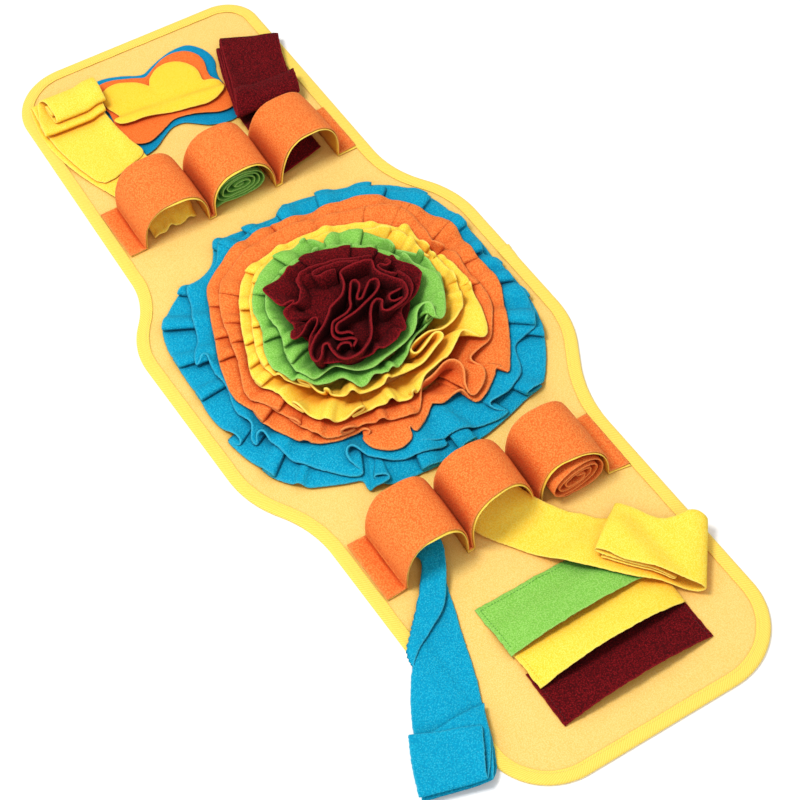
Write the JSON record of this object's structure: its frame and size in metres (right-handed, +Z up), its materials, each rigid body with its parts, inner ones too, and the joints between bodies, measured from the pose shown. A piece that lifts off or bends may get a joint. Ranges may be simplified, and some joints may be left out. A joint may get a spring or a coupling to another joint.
{
  "type": "snuffle mat",
  "caption": "Long felt snuffle mat with a gathered fleece rosette, arched tunnels, a layered flower, pocket flaps and loose fleece strips.",
  "frame": {"origin": "centre of the mat's underside, on the surface it lies on", "axes": "+Y along the mat towards its flower end, +X across it, +Z up from the surface it lies on"},
  "size_m": [0.3856, 1.0081, 0.063],
  "materials": {
    "felt": "brushed pale tan felt",
    "edge_tape": "woven yellow edge tape",
    "orange_fleece": "pebbled orange fleece",
    "yellow_fleece": "smooth yellow fleece",
    "blue_fleece": "pebbled blue fleece",
    "green_fleece": "smooth green fleece",
    "burgundy_fleece": "pebbled burgundy fleece"
  },
  "bodies": {
    "root": {"felt_panel": "felt", "binding": "edge_tape", "tunnel_strip_far": "orange_fleece", "tunnel_strip_near": "orange_fleece", "tunnel_lining_far": "yellow_fleece", "tunnel_lining_near": "yellow_fleece", "rosette_blue_lower": "blue_fleece", "rosette_blue_upper": "blue_fleece", "rosette_orange_lower": "orange_fleece", "rosette_orange_upper": "orange_fleece", "rosette_yellow_lower": "yellow_fleece", "rosette_yellow_upper": "yellow_fleece", "rosette_green_lower": "green_fleece", "rosette_green_upper": "green_fleece", "rosette_burgundy": "burgundy_fleece", "flower_blue": "blue_fleece", "flower_orange": "orange_fleece", "flower_yellow": "yellow_fleece", "flap_green": "green_fleece", "flap_yellow": "yellow_fleece", "flap_burgundy": "burgundy_fleece", "strip_blue": "blue_fleece", "strip_burgundy": "burgundy_fleece", "strip_yellow_near": "yellow_fleece", "strip_yellow_rolled": "yellow_fleece", "roll_green": "green_fleece", "roll_orange": "orange_fleece"}
  },
  "joints": []
}
